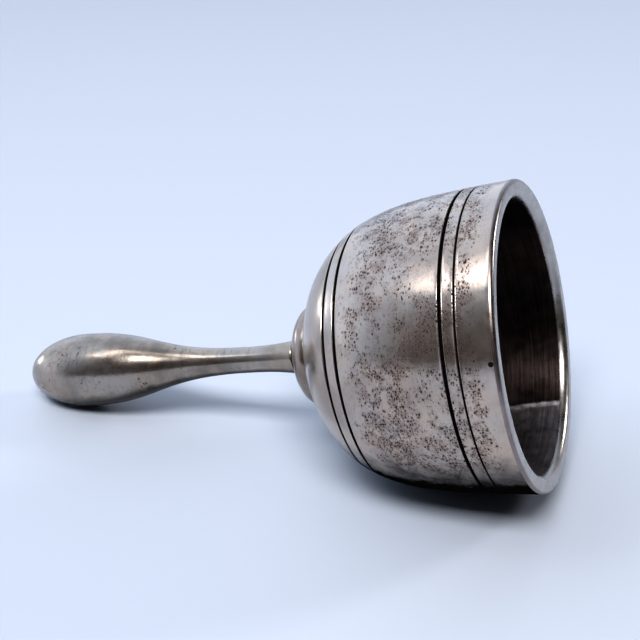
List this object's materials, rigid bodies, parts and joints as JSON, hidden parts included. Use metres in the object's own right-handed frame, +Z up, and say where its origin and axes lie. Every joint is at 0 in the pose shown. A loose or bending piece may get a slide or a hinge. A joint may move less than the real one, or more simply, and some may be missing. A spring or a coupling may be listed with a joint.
{
  "type": "bar jigger",
  "caption": "Heavy turned metal spirit measure: deep rounded cup with turned grooves and a thick rounded rim, domed collar, and slim handle ending in a teardrop bulb, lying on its side.",
  "frame": {"origin": "on the ground under the middle of the whole object's box, with the object lying at rest on its belly and its handle's bulb", "axes": "+X runs level along the object from the handle towards the mouth, +Z is up, +Y completes the right-handed set; the turned axis lies in the XZ plane, tipped 14.9 degrees up towards the mouth"},
  "size_m": [0.1112, 0.0558, 0.0577],
  "materials": {
    "plate": "satin",
    "collar_plate": "satin",
    "handle_plate": "satin",
    "dark_brass": "matte",
    "stud_steel": "satin"
  },
  "bodies": {
    "root": {"cup": "plate", "collar": "collar_plate", "handle_washer": "dark_brass", "stud": "stud_steel", "handle": "handle_plate"}
  },
  "joints": []
}
